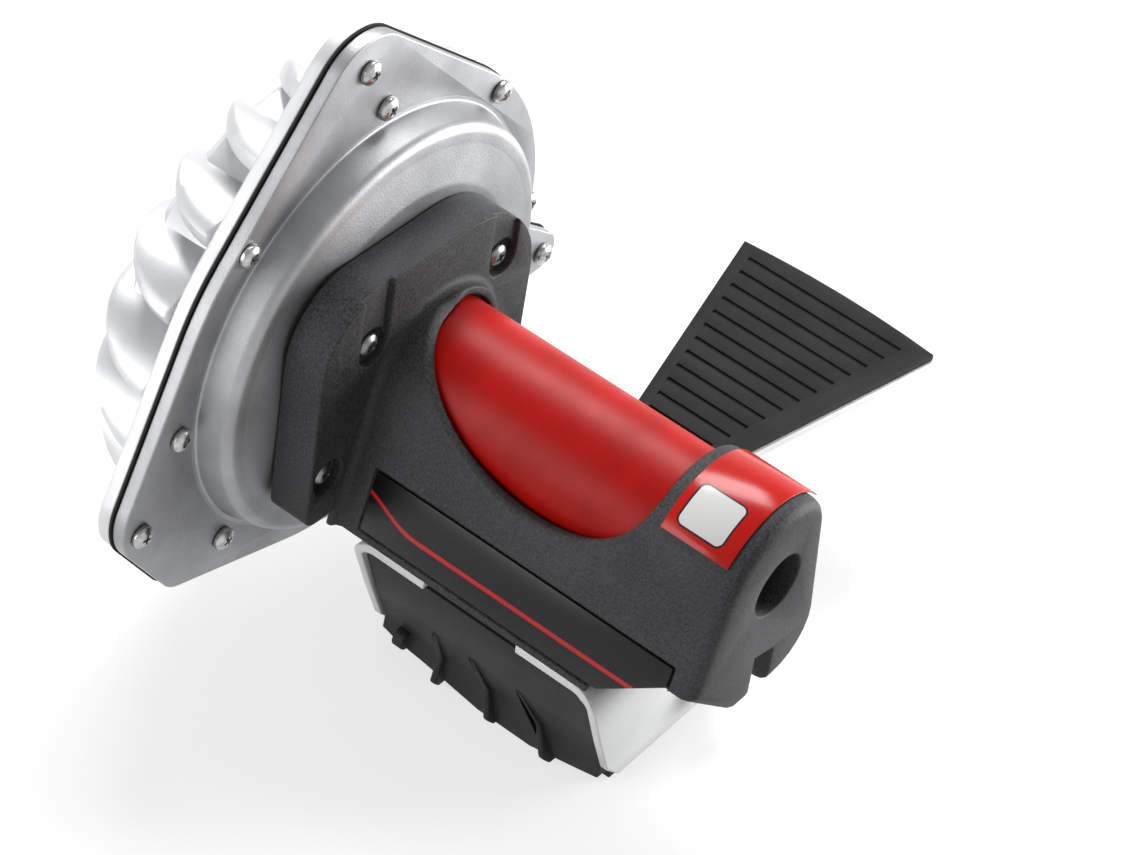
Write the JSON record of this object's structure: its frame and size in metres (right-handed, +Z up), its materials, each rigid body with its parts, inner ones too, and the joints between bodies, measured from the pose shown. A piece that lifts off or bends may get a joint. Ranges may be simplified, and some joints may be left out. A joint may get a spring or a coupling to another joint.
{
  "type": "turbo trainer resistance unit",
  "caption": "Roller brake unit of a wheel-on turbo trainer: finned fluid brake, red roller in a saddle housing, bent bracket with a foot pedal, on a hinge block.",
  "frame": {"origin": "On the flat underside of the hinge block, under the roller's axis, midway between the bracket's side flanges.", "axes": "+X along the roller from the finned brake to the end housing, +Y to the rear where the pedal is, +Z up."},
  "size_m": [0.195, 0.2457, 0.201],
  "materials": {
    "cover_alloy": "satin",
    "casing_alloy": "satin",
    "gasket_black": "matte",
    "black_plastic": "textured matte",
    "pad_rubber": "matte",
    "roller_red": "satin",
    "sticker_film": "satin film",
    "label_film": "satin film",
    "bracket_paint": "satin light grey",
    "screw_steel": "zinc plated",
    "bearing_steel": "ground",
    "shaft_steel": "ground",
    "core_alloy": "machined"
  },
  "bodies": {
    "base": {"hinge_block": "black_plastic", "pivot_bolt": "screw_steel", "pivot_nut": "screw_steel", "pivot_washer_end": "screw_steel", "pivot_washer_brake": "screw_steel"},
    "unit": {"bracket": "bracket_paint", "pedal_pad": "pad_rubber", "pad_screw_1": "screw_steel", "pad_screw_2": "screw_steel", "housing": "black_plastic", "housing_bolt_1": "screw_steel", "housing_bolt_2": "screw_steel", "label_strip": "label_film", "cap_sticker": "sticker_film", "brake_cover": "cover_alloy", "brake_gasket": "gasket_black", "finned_casing": "casing_alloy", "rim_screw_1": "screw_steel", "rim_screw_2": "screw_steel", "rim_screw_3": "screw_steel", "rim_screw_4": "screw_steel", "rim_screw_5": "screw_steel", "rim_screw_6": "screw_steel", "rim_screw_7": "screw_steel", "rim_screw_8": "screw_steel", "lobe_screw_1": "screw_steel", "lobe_screw_2": "screw_steel", "lobe_screw_3": "screw_steel", "plate_screw_1": "screw_steel", "plate_screw_2": "screw_steel", "plate_screw_3": "screw_steel", "plate_screw_4": "screw_steel", "shaft_seal": "gasket_black", "bearing_end": "bearing_steel", "bearing_plate": "bearing_steel"},
    "rotor": {"roller_sleeve": "roller_red", "roller_core": "core_alloy", "roller_shaft": "shaft_steel", "impeller": "core_alloy"}
  },
  "joints": [
    {"name": "unit_swing", "type": "hinge", "parent": "base", "child": "unit", "pos_m": [0, 0.026, 0.019], "axis": [-1, 0, 0], "range_deg": [0, 22]},
    {"name": "roller_spin", "type": "hinge", "parent": "unit", "child": "rotor", "pos_m": [0, 0, 0.096], "axis": [1, 0, 0], "continuous": true}
  ]
}
